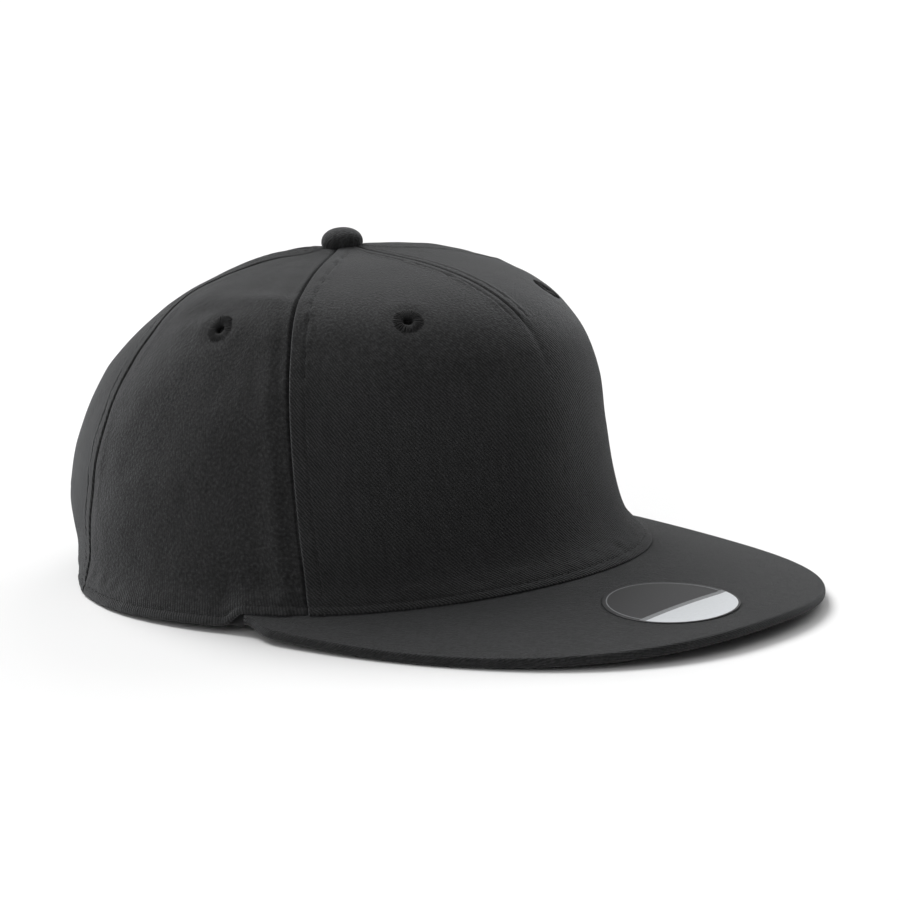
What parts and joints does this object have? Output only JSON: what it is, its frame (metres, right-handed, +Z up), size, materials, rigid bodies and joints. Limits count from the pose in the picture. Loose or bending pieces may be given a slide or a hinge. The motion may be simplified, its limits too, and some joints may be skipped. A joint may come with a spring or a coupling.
{
  "type": "snapback cap",
  "caption": "Five-panel cloth cap with a flat peak, covered button, stitched eyelets and a plastic snap strap over a half-moon opening.",
  "frame": {"origin": "under the middle of the whole cap, on the plane that the hem stands on", "axes": "+Z up through the button, -Y towards the peak, +X towards the wearer's left"},
  "size_m": [0.19, 0.2768, 0.1166],
  "materials": {
    "twill": "matt black cotton twill",
    "band_cloth": "matt black plain weave",
    "eyelet_thread": "black embroidery thread",
    "strap_plastic": "satin black moulded plastic",
    "label_film": "plain satin film, dark with a light front part"
  },
  "bodies": {
    "root": {"crown_front_panel": "twill", "crown_side_panel_right": "twill", "crown_side_panel_left": "twill", "crown_back_panel_right": "twill", "crown_back_panel_left": "twill", "peak": "twill", "button": "twill", "sweatband": "band_cloth", "eyelet_front_right": "eyelet_thread", "eyelet_front_left": "eyelet_thread", "eyelet_side_right": "eyelet_thread", "eyelet_side_left": "eyelet_thread", "strap_hole_strip": "strap_plastic", "strap_stud_strip": "strap_plastic", "peak_label": "label_film"}
  },
  "joints": []
}
